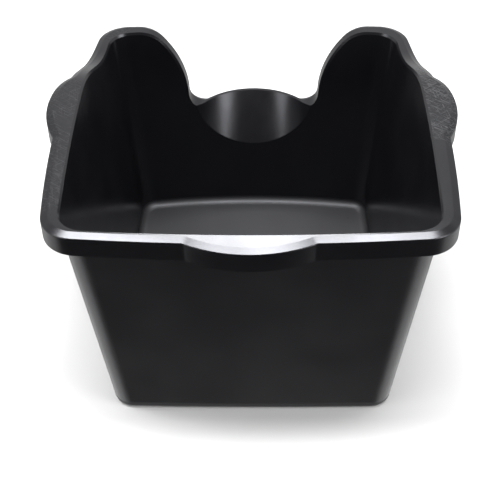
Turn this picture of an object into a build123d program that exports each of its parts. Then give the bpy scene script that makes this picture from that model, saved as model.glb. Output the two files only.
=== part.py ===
from build123d import *
import os

# Mortar mixing tub: one black polypropylene moulding with a turned-down rim,
# two side grips, a front grip and a jug spout in the notched rear wall.
# Millimetres, +Z up, spout towards +Y, origin at the centre of the underside.

# Driving dimensions
rim_height = 272.5            # top of the rim along the front and the sides
shoulder_height = 239.0       # top of the rim on the two rear shoulders
lip_height = 138.0            # top of the spout lip, level with the foot of the notch

base_half_width_front = 145.0
base_half_width_rear = 141.0
base_half_depth = 162.0
draft_side = 0.089            # outward lean per millimetre of height
draft_front = 0.095
draft_rear = 0.097
wall_thickness = 3.0
corner_radius_base = 22.0
corner_radius_top = 28.0
base_edge_radius = 6.0
floor_cove_radius = 9.0

front_bow_base = 2.0          # how far each wall swells out at its middle
front_bow_top = 7.5
side_bow_base = 2.0
side_bow_top = 7.0
rear_bow = 11.0

outline_front = 193.5         # plan outline of the rim, measured from the origin
outline_rear = 203.0
outline_half_width_front = 181.7
outline_half_width_rear = 170.5
outline_front_bow = 9.0
outline_side_bow = 13.4
outline_rear_bow = 4.0
outline_radius = 34.0

rim_thickness = 3.0
skirt_depth = 22.0
flange_fall = 3.0             # drop of the flange from its ridge to its outer edge
flange_slope_width = 7.0
bevel_height = 1.3            # bevel between the ridge and the inside of the tub
bevel_width = 2.6
rim_edge_radius = 1.5
step_start = 22.0             # the side rims step down between these two depths
step_end = 156.0

side_grip_radius = 111.0      # plan radius of the two side grips
side_grip_reach = 202.5       # outermost point of a side grip from the centre
side_grip_centre_y = 0.4
front_grip_radius = 122.0
front_grip_reach = 216.0
grip_blend_radius = 9.0
grip_end_inside_x = 178.0     # the ends of the grip arcs lie outside these lines
grip_end_inside_y = 190.0
grip_half_length_limit = 80.0

# Half outline of the notch: shoulder arc, side arc, then a straight run to the rounded foot
notch_half_width_top = 132.0
notch_shoulder_end = (103.0, 225.4)
notch_side_end = (76.6, 160.0)
notch_half_width_foot = 75.5
notch_foot_radius = 19.0
notch_cut_front = 160.0       # the notch is cut between these two depths
notch_cut_rear = 300.0

# The spout is a round channel that leans outward from its foot to its lip
spout_foot_height = 87.6      # where the channel starts to leave the rear wall
spout_foot_reach = 178.5      # its furthest point there, on the inside of the wall
spout_foot_radius = 91.0
spout_lip_reach = 219.6
spout_lip_radius = 78.6
spout_low_height = 74.0       # the channel is drawn between these two heights
spout_high_height = 176.0
spout_wall_lean = 1.32        # depth of the leaning wall over its thickness
spout_seam_radius = 2.5       # rounding where the channel leaves the wall

# Where the moulding is divided into named regions
corner_line_x = 120.0
corner_line_y = 138.0
front_grip_half_length = 64.0
side_grip_front = -68.0
side_grip_rear = 56.0
shoulder_line_y = 150.0

far = 600.0                   # beyond the tub in every direction
block_top = 400.0             # top of the blocks the rim is cut from
wall_overshoot = 30.0         # the walls are drawn this far above the rim, then cut
skirt_search_depth = 20.0     # rim edges are looked for down to this far below the lip
bevel_start_rise = 10.0       # the inner bevel starts this far above the lip
level_limit = 0.999           # an edge steeper than this counts as upright
touch = 0.01                  # distance that counts as touching
below_floor = -50.0


def wall_section(height, inset):
    """Closed plan outline of the walls at one height."""
    share = height / rim_height
    front_x = base_half_width_front + draft_side * height - inset
    rear_x = base_half_width_rear + draft_side * height - inset
    front_y = -(base_half_depth + draft_front * height) + inset
    rear_y = base_half_depth + draft_rear * height - inset
    front_bow = front_bow_base + (front_bow_top - front_bow_base) * share
    side_bow = side_bow_base + (side_bow_top - side_bow_base) * share
    radius = corner_radius_base + (corner_radius_top - corner_radius_base) * share - inset
    middle_x = (front_x + rear_x) / 2 + side_bow
    corners = [(-front_x, front_y), (front_x, front_y), (rear_x, rear_y), (-rear_x, rear_y)]
    middles = [(0, front_y - front_bow), (middle_x, 0), (0, rear_y + rear_bow), (-middle_x, 0)]
    return rounded_outline(corners, middles, radius, height)


def rounded_outline(corners, middles, radius, height):
    """Face with four bowed sides and rounded corners, lying at one height."""
    sides = []
    for index in range(4):
        start = corners[index]
        end = corners[(index + 1) % 4]
        sides.append(ThreePointArc(start, middles[index], end))
    face = make_face(sides)
    face = fillet(face.vertices(), radius)
    return Pos(0, 0, height) * face


def wall_body(inset, low, high):
    """Tapered solid between two wall sections."""
    sections = [wall_section(low, inset).face(), wall_section(high, inset).face()]
    return loft(sections, ruled=True)


def rim_outline(inset):
    """Plan outline of the rim with its three grips, drawn in by inset."""
    front_x = outline_half_width_front - inset
    rear_x = outline_half_width_rear - inset
    front_y = -outline_front + inset
    rear_y = outline_rear - inset
    middle_x = (front_x + rear_x) / 2 + outline_side_bow
    corners = [(-front_x, front_y), (front_x, front_y), (rear_x, rear_y), (-rear_x, rear_y)]
    middles = [
        (0, front_y - outline_front_bow),
        (middle_x, 0),
        (0, rear_y + outline_rear_bow),
        (-middle_x, 0),
    ]
    outline = rounded_outline(corners, middles, outline_radius - inset, 0)
    side_centre = side_grip_reach - side_grip_radius
    front_centre = front_grip_reach - front_grip_radius
    grips = [
        Pos(side_centre, side_grip_centre_y) * Circle(side_grip_radius - inset),
        Pos(-side_centre, side_grip_centre_y) * Circle(side_grip_radius - inset),
        Pos(0, -front_centre) * Circle(front_grip_radius - inset),
    ]
    joined = outline + grips
    blend_points = [
        vertex
        for vertex in joined.vertices()
        if is_grip_end(vertex.X, vertex.Y)
    ]
    return fillet(blend_points, grip_blend_radius + inset)


def is_grip_end(x, y):
    """True where a grip arc leaves the plain rim outline."""
    on_side = abs(x) > grip_end_inside_x and abs(y - side_grip_centre_y) < grip_half_length_limit
    on_front = abs(x) < grip_half_length_limit and y < -grip_end_inside_y
    return on_side or on_front


def upright(face, low, high):
    """Prism over a plan face."""
    return extrude(Pos(0, 0, low) * face, amount=high - low)


def notch_prism(growth):
    """Opening in the rear wall, grown outward by growth."""
    foot_left = (-notch_half_width_foot, lip_height)
    foot_right = (notch_half_width_foot, lip_height)
    edges = [Line(foot_left, foot_right), Line((-far, far), (far, far))]
    for side in (-1, 1):
        shoulder = (side * notch_half_width_top, shoulder_height)
        shoulder_end = (side * notch_shoulder_end[0], notch_shoulder_end[1])
        side_end = (side * notch_side_end[0], notch_side_end[1])
        shoulder_arc = TangentArc(shoulder, shoulder_end, tangent=(-side, 0))
        edges.append(shoulder_arc)
        edges.append(TangentArc(shoulder_end, side_end, tangent=shoulder_arc % 1))
        edges.append(Line(side_end, (side * notch_half_width_foot, lip_height)))
        edges.append(Line(shoulder, (side * far, shoulder_height)))
        edges.append(Line((side * far, shoulder_height), (side * far, far)))
    face = make_face(edges)
    foot_points = [vertex for vertex in face.vertices() if abs(vertex.Y - lip_height) < touch]
    face = fillet(foot_points, notch_foot_radius)
    if growth > 0:
        face = offset(face, amount=growth, kind=Kind.ARC)
    upright_face = Rot(90, 0, 0) * face
    cut_length = notch_cut_rear - notch_cut_front
    return Pos(0, notch_cut_rear, 0) * extrude(upright_face, amount=cut_length)


def below_top(drop):
    """Everything below the top surface of the rim, lowered by drop."""
    high = rim_height - drop
    low = shoulder_height - drop
    step = Spline(
        (step_start, high),
        (step_end, low),
        tangents=[(1, 0), (1, 0)],
    )
    edges = [
        Line((-far, -far), (-far, high)),
        Line((-far, high), (step_start, high)),
        step,
        Line((step_end, low), (far, low)),
        Line((far, low), (far, -far)),
        Line((far, -far), (-far, -far)),
    ]
    face = make_face(edges)
    standing = Rot(0, 0, 90) * Rot(90, 0, 0) * face
    block = Pos(-far, 0, 0) * extrude(standing, amount=2 * far)
    return block - notch_prism(drop)


def rim_solid(inset):
    """Block under the top surface of the rim, its flange sloping down to the outline."""
    outline = rim_outline(inset)
    block = upright(outline, 0, block_top) & below_top(inset)
    edges = top_outline_edges(block, outline)
    return chamfer(edges, length=flange_fall, length2=flange_slope_width)


def top_outline_edges(block, outline):
    """Edges where the top of a block meets its outer upright face."""
    boundary = outline.edges()
    found = []
    for edge in block.edges():
        middle = edge.position_at(0.5)
        upright_edge = abs(edge.tangent_at(0.5).Z) > level_limit
        high_enough = middle.Z > lip_height - skirt_search_depth
        if high_enough and not upright_edge and lies_over(middle, boundary):
            found.append(edge)
    return found


def lies_over(point, boundary):
    """True where a point stands straight above one of the plan edges."""
    foot = Vertex(point.X, point.Y, 0)
    return min(edge.distance_to(foot) for edge in boundary) < touch


def inner_top_edges(rim, inner_body):
    """Edges where the top of the rim meets the inside of the tub."""
    found = []
    for edge in rim.edges():
        middle = edge.position_at(0.5)
        on_inside = inner_body.distance_to(Vertex(middle.X, middle.Y, middle.Z)) < touch
        upright_edge = abs(edge.tangent_at(0.5).Z) > level_limit
        if on_inside and middle.Z > lip_height + bevel_start_rise and not upright_edge:
            found.append(edge)
    return found


def channel_section(height, growth):
    """Round section of the spout channel at one height, grown by growth."""
    share = (height - spout_foot_height) / (lip_height - spout_foot_height)
    radius = spout_foot_radius + (spout_lip_radius - spout_foot_radius) * share + growth
    reach = spout_foot_reach + (spout_lip_reach - spout_foot_reach) * share
    reach = reach + growth * spout_wall_lean
    return Pos(0, reach - radius, height) * Circle(radius)


def channel(growth):
    """Solid that fills the spout channel, grown by growth."""
    sections = [
        channel_section(spout_low_height, growth).face(),
        channel_section(spout_high_height, growth).face(),
    ]
    return loft(sections, ruled=True)


def seam_edges(joined, inner_body, channel_body):
    """Edges where the spout channel leaves the inside of the rear wall."""
    found = []
    for edge in joined.edges():
        middle = edge.position_at(0.5)
        point = Vertex(middle.X, middle.Y, middle.Z)
        on_both = inner_body.distance_to(point) < touch and channel_body.distance_to(point) < touch
        if on_both and spout_foot_height - touch < middle.Z < spout_high_height - touch:
            found.append(edge)
    return found


def region(x_low, x_high, y_low, y_high, z_low=below_floor, z_high=block_top):
    """Box between two corners, used to divide the moulding."""
    size = (x_high - x_low, y_high - y_low, z_high - z_low)
    box = Box(*size, align=(Align.MIN, Align.MIN, Align.MIN))
    return Pos(x_low, y_low, z_low) * box


def largest_solid(shape):
    """The main solid of a shape after cutting."""
    solids = sorted(shape.solids(), key=lambda solid: solid.volume)
    return solids[-1]


# Walls and floor as one tapered shell
walls_top = rim_height + wall_overshoot
outer_body = wall_body(0, 0, walls_top)
base_edges = outer_body.edges().group_by(Axis.Z)[0]
outer_body = fillet(base_edges, base_edge_radius)
cavity = wall_body(wall_thickness, wall_thickness, walls_top)
cove_edges = cavity.edges().group_by(Axis.Z)[0]
cavity = fillet(cove_edges, floor_cove_radius)

# The hollow of the tub: its cavity joined to the spout channel
channel_inside = channel(0)
channel_outside = channel(wall_thickness)
hollow = cavity + channel_inside
hollow = fillet(seam_edges(hollow, cavity, channel_inside), spout_seam_radius)

rim_block = rim_solid(0)
rim_block = fillet(top_outline_edges(rim_block, rim_outline(0)), rim_edge_radius)
rim_hollow = rim_solid(rim_thickness)
foot_of_skirt = below_top(skirt_depth)

wall_block = outer_body & rim_hollow
shell = wall_block - hollow

# Rim: sloped flange with a turned-down skirt that follows the step and the notch
rim = rim_block - cavity
rim = chamfer(inner_top_edges(rim, cavity), length=bevel_height, length2=bevel_width)
rim = (rim - rim_hollow) - foot_of_skirt
rim = rim - channel_outside

# Spout: the part of the channel's wall that stands outside the tub's walls. Its lip is cut by
# the same surface as the rim, so that it runs into the sides of the notch without a step
spout = (channel_outside - hollow) & below_top(0)
spout = spout - wall_block

nodes = {}
floor_layer = region(-far, far, -far, far, below_floor, wall_thickness)
nodes["floor_panel"] = shell & floor_layer
walls = shell - floor_layer
nodes["front_wall"] = walls & region(-corner_line_x, corner_line_x, -far, 0)
nodes["rear_wall"] = walls & region(-corner_line_x, corner_line_x, 0, far)
nodes["left_wall"] = walls & region(-far, 0, -corner_line_y, corner_line_y)
nodes["right_wall"] = walls & region(0, far, -corner_line_y, corner_line_y)
nodes["front_left_corner"] = walls & region(-far, -corner_line_x, -far, -corner_line_y)
nodes["front_right_corner"] = walls & region(corner_line_x, far, -far, -corner_line_y)
nodes["rear_left_corner"] = walls & region(-far, -corner_line_x, corner_line_y, far)
nodes["rear_right_corner"] = walls & region(corner_line_x, far, corner_line_y, far)

nodes["front_grip"] = rim & region(-front_grip_half_length, front_grip_half_length, -far, 0)
nodes["left_grip"] = rim & region(-far, 0, side_grip_front, side_grip_rear)
nodes["right_grip"] = rim & region(0, far, side_grip_front, side_grip_rear)
nodes["front_left_rim"] = rim & region(-far, -front_grip_half_length, -far, side_grip_front)
nodes["front_right_rim"] = rim & region(front_grip_half_length, far, -far, side_grip_front)
nodes["left_step_rim"] = rim & region(-far, 0, side_grip_rear, shoulder_line_y)
nodes["right_step_rim"] = rim & region(0, far, side_grip_rear, shoulder_line_y)
nodes["rear_left_rim"] = rim & region(-far, 0, shoulder_line_y, far)
nodes["rear_right_rim"] = rim & region(0, far, shoulder_line_y, far)
nodes["pouring_spout"] = spout

os.makedirs("parts", exist_ok=True)
for name, shape in nodes.items():
    solid = largest_solid(shape)
    export_step(solid, "parts/" + name + ".step")
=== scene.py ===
import math

import bpy
from mathutils import Matrix, Vector


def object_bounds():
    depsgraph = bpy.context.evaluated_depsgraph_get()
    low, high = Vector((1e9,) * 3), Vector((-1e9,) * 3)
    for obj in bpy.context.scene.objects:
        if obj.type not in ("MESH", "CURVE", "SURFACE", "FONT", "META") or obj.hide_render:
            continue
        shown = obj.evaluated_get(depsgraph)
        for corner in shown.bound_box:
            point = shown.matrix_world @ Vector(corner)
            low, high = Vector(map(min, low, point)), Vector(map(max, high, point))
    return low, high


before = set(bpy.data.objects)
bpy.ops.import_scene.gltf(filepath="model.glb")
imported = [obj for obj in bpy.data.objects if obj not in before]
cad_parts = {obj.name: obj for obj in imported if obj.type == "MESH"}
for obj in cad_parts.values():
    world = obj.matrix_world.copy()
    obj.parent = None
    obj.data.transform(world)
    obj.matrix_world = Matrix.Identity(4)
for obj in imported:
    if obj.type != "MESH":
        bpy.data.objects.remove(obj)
cad_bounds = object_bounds()

# Mortar mixing tub: one black plastic moulding with a turned-down rim, three grips and a jug spout.
# Metres, +Z up, spout towards +Y, origin at the centre of the underside.
# A value called a fade holds the two values between which something sets in.
FRONT_EDGE = cad_bounds[0][1]
RIM_HEIGHT = cad_bounds[1][2]

# Camera: a medium telephoto view from the front, looking down into the tub
CAMERA_PLACE = Vector((0.0109, -0.8632, 0.8798))
CAMERA_PITCH = 43.0           # degrees below the horizon
CAMERA_YAW = 0.925            # degrees to the left of +Y
CAMERA_ROLL = -0.586          # degrees, less than zero where the camera's right side is the lower one
CAMERA_LENS = 76.34           # millimetres
SENSOR_WIDTH = 36.0           # millimetres
CAMERA_FAR_LIMIT = 50.0

# Floor that the tub stands on
FLOOR_RADIUS = 8.0
FLOOR_SIDES = 96
FLOOR_GAP = 0.0002            # below the tub, so that the two don't share a plane
FLOOR_COLOUR = (0.61, 0.61, 0.61, 1.0)

# Black plastic. The higher its roughness, the more matt it is.
PLASTIC_DARK = (0.0023, 0.0023, 0.0029, 1.0)
PLASTIC_LIGHT = (0.0040, 0.0040, 0.0048, 1.0)
PLASTIC_IOR = 1.49
SHEEN_TINT = (0.93, 0.94, 1.0, 1.0)      # reflections lean slightly to blue
ROUGHNESS = (0.20, 0.27)                 # lowest and highest, in soft blotches
BLOTCH_FADE = (0.3, 0.7)
BLOTCH_SCALE = 14.0                      # noise scales are per metre
RIPPLE_SCALE = 130.0
GRAIN_SCALE = 1500.0
RIPPLE_HEIGHT = 0.6                      # shares of the relief's depth
GRAIN_HEIGHT = 0.10
RELIEF_DEPTH = 0.00012
RELIEF_STRENGTH = 0.35

# The inside floor of the tub: painted light, a lighter grey that stands in for the overhead light falling on
# it, and a rougher surface
FLOOR_PAINTED_LIGHT_COLOUR = (0.0140, 0.0140, 0.0148, 1.0)
FLOOR_ROUGHNESS_ADDED = 0.26                  # added
FLOOR_HEIGHT_FADE = (0.012, 0.006)

# Scuffs on top of the rim: thin streaks, in patches
SCUFF_COLOUR = (0.050, 0.050, 0.053, 1.0)
SCUFF_COVER = 0.7
SCUFF_ROUGHNESS = 0.22                   # added
SCUFF_HEIGHT = 0.25                      # share of the relief's depth, cut in
SCUFF_UPWARD_FADE = (0.55, 0.85)         # of the surface's normal
SCUFF_HEIGHT_FADE = (RIM_HEIGHT - 0.0675, RIM_HEIGHT - 0.0405)
SCUFF_BEHIND_FADE = (FRONT_EDGE + 0.041, FRONT_EDGE + 0.066)
SCUFF_RIGHT_FADE = (0.08, 0.17)
SCUFF_LEFT_SHARE = 0.30                  # of what the right side has
SCUFF_PATCH_SCALE = 9.0
SCUFF_PATCH_FADE = (0.44, 0.62)
STREAK_SCALE = (60.0, 1900.0, 600.0)
STREAKS = ((38.0, 0.60), (-41.0, 0.65), (80.0, 0.67))    # degrees about Z, noise value that starts a streak
STREAK_EDGE = 0.05

# White surround. Its fades are of the Y or Z part of a direction.
SURROUND_SIDES = 1.0
SURROUND_OVERHEAD = 0.45
OVERHEAD_FADE = (0.60, 0.77)             # Z
SURROUND_UNDERFOOT = 0.10                # added
UNDERFOOT_FADE = (-0.66, -0.86)          # Z
DIMMED_PARTS = (                         # share that is left, Y fade, Z fade
    (0.07, (-0.10, -0.50), (0.02, -0.40)),     # in front, below the horizon
    (0.60, (0.30, 0.60), (0.60, 0.42)),        # low down behind the tub
    (0.12, (-0.55, -0.80), (-0.05, 0.10)),     # in front, above the horizon, which the spout faces
)

# Black card in front, its head nearer to the tub than its foot
FLAG_COLOUR = (0.01, 0.01, 0.01, 1.0)
FLAG_HALF_WIDTH = 0.9
FLAG_FOOT = (-1.7, -0.3)                 # Y and Z of its lower edge
FLAG_HEAD = (-0.9, 2.0)                  # and of its upper edge


def link(thing):
    """Puts an object into the scene."""
    bpy.context.scene.collection.objects.link(thing)
    return thing


def make_camera():
    """Creates the scene's camera from its place, pitch, yaw and roll."""
    pitch = math.radians(CAMERA_PITCH)
    yaw = math.radians(CAMERA_YAW)
    roll = math.radians(CAMERA_ROLL)
    forward = Vector((
        -math.sin(yaw) * math.cos(pitch),
        math.cos(yaw) * math.cos(pitch),
        -math.sin(pitch),
    ))
    level = Vector((math.cos(yaw), math.sin(yaw), 0.0))
    upward = level.cross(forward)
    right = level * math.cos(roll) + upward * math.sin(roll)
    top = upward * math.cos(roll) - level * math.sin(roll)
    data = bpy.data.cameras.new("camera")
    data.lens = CAMERA_LENS
    data.sensor_width = SENSOR_WIDTH
    data.clip_end = CAMERA_FAR_LIMIT
    camera = link(bpy.data.objects.new("camera", data))
    pose = Matrix((right, top, -forward)).transposed().to_4x4()
    pose.translation = CAMERA_PLACE
    camera.matrix_world = pose
    bpy.context.scene.camera = camera


class Nodes:
    """A material's or world's node tree, built node by node."""

    def __init__(self, owner):
        owner.use_nodes = True
        self.tree = owner.node_tree
        self.tree.nodes.clear()

    def fill(self, socket, value):
        """Sets an input to a value, or links it to another node's socket."""
        if isinstance(value, bpy.types.NodeSocket):
            self.tree.links.new(value, socket)
        else:
            socket.default_value = value

    def add(self, kind, settings=None, **inputs):
        """New node with its settings and inputs. A name's underscores stand for spaces."""
        node = self.tree.nodes.new(kind)
        for name, value in (settings or {}).items():
            setattr(node, name, value)
        for name, value in inputs.items():
            self.fill(node.inputs[name.replace("_", " ")], value)
        return node

    def output(self, kind, shader):
        """Sends a shader to a new output node."""
        self.add(kind, Surface=shader.outputs[0])

    def math(self, operation, first, second):
        """Result of a math operation on two values or sockets."""
        node = self.add("ShaderNodeMath", {"operation": operation})
        self.fill(node.inputs[0], first)
        self.fill(node.inputs[1], second)
        return node.outputs[0]

    def noise(self, place, scale, detail=2.0, roughness=0.5):
        """Noise value, about 0 to 1, at a place."""
        node = self.add(
            "ShaderNodeTexNoise", Vector=place, Scale=scale, Detail=detail, Roughness=roughness,
        )
        return node.outputs["Fac"]

    def stretched(self, place, turn, scale):
        """Place turned about Z by degrees, then scaled, so that a texture becomes streaks."""
        turned = self.add("ShaderNodeMapping", Vector=place, Rotation=(0.0, 0.0, math.radians(turn)))
        scaled = self.add("ShaderNodeMapping", Vector=turned.outputs[0], Scale=scale)
        return scaled.outputs[0]

    def ramp(self, value, low, high, out_low=0.0, out_high=1.0):
        """Smooth step of a value from low to high. Low may be the greater of the two."""
        node = self.add(
            "ShaderNodeMapRange", {"interpolation_type": "SMOOTHSTEP"}, Value=value,
            From_Min=low, From_Max=high, To_Min=out_low, To_Max=out_high,
        )
        return node.outputs[0]

    def mix_colour(self, share, first, second):
        """Colour between two colours."""
        node = self.add("ShaderNodeMix", {"data_type": "RGBA"})
        sockets = {socket.identifier: socket for socket in node.inputs}
        self.fill(sockets["Factor_Float"], share)
        self.fill(sockets["A_Color"], first)
        self.fill(sockets["B_Color"], second)
        return next(socket for socket in node.outputs if socket.identifier == "Result_Color")


def matt_material(name, colour):
    """Plain matt material of one colour."""
    material = bpy.data.materials.new(name)
    n = Nodes(material)
    n.output("ShaderNodeOutputMaterial", n.add("ShaderNodeBsdfDiffuse", Color=colour))
    return material


def scuff_mask(n, place, position, normal):
    """Scuffs on the rim's upward faces, fewer on the left and none at the front."""
    on_top = n.ramp(normal["Z"], *SCUFF_UPWARD_FADE)
    high_up = n.ramp(position["Z"], *SCUFF_HEIGHT_FADE)
    patches = n.ramp(n.noise(place, SCUFF_PATCH_SCALE), *SCUFF_PATCH_FADE)
    more_on_right = n.ramp(position["X"], *SCUFF_RIGHT_FADE, SCUFF_LEFT_SHARE, 1.0)
    behind_front = n.ramp(position["Y"], *SCUFF_BEHIND_FADE)
    handled = on_top
    for limit in (high_up, patches, more_on_right, behind_front):
        handled = n.math("MULTIPLY", handled, limit)
    streaks = 0.0
    for turn, start in STREAKS:
        streak_noise = n.noise(n.stretched(place, turn, STREAK_SCALE), scale=1.0, detail=1.0)
        streak = n.ramp(streak_noise, start, start + STREAK_EDGE)
        streaks = n.math("MAXIMUM", streaks, streak)
    return n.math("MULTIPLY", handled, streaks)


def black_plastic():
    """Semi-gloss moulded plastic: fine grain, faint ripple, a rougher floor painted lighter as painted light
    from above, and a scuffed rim.
    """
    material = bpy.data.materials.new("moulded_black_plastic")
    n = Nodes(material)
    place = n.add("ShaderNodeTexCoord").outputs["Object"]
    position = n.add("ShaderNodeSeparateXYZ", Vector=place).outputs
    geometry = n.add("ShaderNodeNewGeometry")
    normal = n.add("ShaderNodeSeparateXYZ", Vector=geometry.outputs["Normal"]).outputs

    blotches = n.noise(place, BLOTCH_SCALE, detail=4.0, roughness=0.55)
    ripple = n.noise(place, RIPPLE_SCALE)
    grain = n.noise(place, GRAIN_SCALE, roughness=0.6)
    # Where the inside floor lies: it gets painted light in its colour and a rougher surface
    floor_level = n.ramp(position["Z"], *FLOOR_HEIGHT_FADE)
    scuffs = scuff_mask(n, place, position, normal)

    colour = n.mix_colour(blotches, PLASTIC_DARK, PLASTIC_LIGHT)
    # Painted light: the inside floor is coloured a lighter grey, standing in for the overhead light that
    # falls on it
    colour = n.mix_colour(floor_level, colour, FLOOR_PAINTED_LIGHT_COLOUR)
    colour = n.mix_colour(n.math("MULTIPLY", scuffs, SCUFF_COVER), colour, SCUFF_COLOUR)

    roughness = n.ramp(blotches, *BLOTCH_FADE, *ROUGHNESS)
    roughness = n.math("ADD", roughness, n.math("MULTIPLY", scuffs, SCUFF_ROUGHNESS))
    roughness = n.math("ADD", roughness, n.math("MULTIPLY", floor_level, FLOOR_ROUGHNESS_ADDED))

    ripple_height = n.math("MULTIPLY", ripple, RIPPLE_HEIGHT)
    grain_height = n.math("MULTIPLY", grain, GRAIN_HEIGHT)
    height = n.math("ADD", ripple_height, grain_height)
    height = n.math("SUBTRACT", height, n.math("MULTIPLY", scuffs, SCUFF_HEIGHT))
    relief = n.add("ShaderNodeBump", Strength=RELIEF_STRENGTH, Distance=RELIEF_DEPTH, Height=height)

    shader = n.add(
        "ShaderNodeBsdfPrincipled", Base_Color=colour, Roughness=roughness, Normal=relief.outputs[0],
        IOR=PLASTIC_IOR, Specular_Tint=SHEEN_TINT,
    )
    n.output("ShaderNodeOutputMaterial", shader)
    return material


def make_floor():
    """Round pale floor under the tub, which reflections don't see."""
    turns = [math.tau * index / FLOOR_SIDES for index in range(FLOOR_SIDES)]
    ring = [(FLOOR_RADIUS * math.cos(turn), FLOOR_RADIUS * math.sin(turn), 0.0) for turn in turns]
    mesh = bpy.data.meshes.new("floor")
    mesh.from_pydata(ring, [], [tuple(range(FLOOR_SIDES))])
    mesh.materials.append(matt_material("pale_floor", FLOOR_COLOUR))
    floor = link(bpy.data.objects.new("floor", mesh))
    floor.location.z = -FLOOR_GAP
    floor.visible_glossy = False


def area_light(name, place, target, width, depth, radiance):
    """Rectangular soft light at a place, turned to a target. Radiance is what a mirror would show."""
    data = bpy.data.lights.new(name, "AREA")
    data.shape = "RECTANGLE"
    data.size = width
    data.size_y = depth
    data.energy = radiance * math.pi * width * depth
    light = link(bpy.data.objects.new(name, data))
    light.location = place
    aim = Vector(target) - Vector(place)
    light.rotation_euler = aim.to_track_quat("-Z", "Y").to_euler()
    light.visible_camera = False


def make_lights():
    """A long strip overhead, a small one behind that faces the front rim, and a panel on each side."""
    area_light(
        "front_strip", place=(-0.25, -0.19, 1.70), target=(-0.25, -0.19, 0.0),
        width=1.90, depth=0.30, radiance=35.0,
    )
    area_light(
        "rear_strip", place=(0.0, 0.35, 0.78), target=(0.0, -0.20, 0.27),
        width=0.34, depth=0.16, radiance=30.0,
    )
    for name, side, width, radiance in (("left_panel", -1, 0.50, 3.8), ("right_panel", 1, 0.62, 6.6)):
        area_light(
            name, place=(side * 1.09, -0.68, 0.94), target=(0.0, 0.2, 0.12),
            width=width, depth=0.90, radiance=radiance,
        )


def make_flag():
    """Black card that only reflections see, as a photographer hangs to keep a highlight off a glossy part."""
    corners = [
        (-FLAG_HALF_WIDTH, *FLAG_FOOT), (FLAG_HALF_WIDTH, *FLAG_FOOT),
        (FLAG_HALF_WIDTH, *FLAG_HEAD), (-FLAG_HALF_WIDTH, *FLAG_HEAD),
    ]
    mesh = bpy.data.meshes.new("front_flag")
    mesh.from_pydata(corners, [], [tuple(range(len(corners)))])
    mesh.materials.append(matt_material("front_flag", FLAG_COLOUR))
    flag = link(bpy.data.objects.new("front_flag", mesh))
    for ray in ("camera", "diffuse", "shadow", "transmission", "volume_scatter"):
        setattr(flag, "visible_" + ray, False)


def make_world():
    """White surround: full strength at the sides, less overhead and in the dimmed parts."""
    world = bpy.data.worlds.new("surround")
    n = Nodes(world)
    direction = n.add("ShaderNodeTexCoord").outputs["Generated"]
    parts = n.add("ShaderNodeSeparateXYZ", Vector=direction).outputs
    strength = n.ramp(parts["Z"], *OVERHEAD_FADE, SURROUND_SIDES, SURROUND_OVERHEAD)
    for share, y_fade, z_fade in DIMMED_PARTS:
        where = n.math("MULTIPLY", n.ramp(parts["Y"], *y_fade), n.ramp(parts["Z"], *z_fade))
        strength = n.math("MULTIPLY", strength, n.ramp(where, 0.0, 1.0, 1.0, share))
    underfoot = n.ramp(parts["Z"], *UNDERFOOT_FADE, 0.0, SURROUND_UNDERFOOT)
    strength = n.math("ADD", strength, underfoot)
    background = n.add("ShaderNodeBackground", Color=(1.0, 1.0, 1.0, 1.0), Strength=strength)
    n.output("ShaderNodeOutputWorld", background)
    bpy.context.scene.world = world


make_camera()
make_floor()
make_lights()
make_flag()
make_world()
bpy.context.scene.view_settings.view_transform = "Standard"

plastic = black_plastic()
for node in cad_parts.values():
    for slot in node.material_slots:
        slot.material = plastic
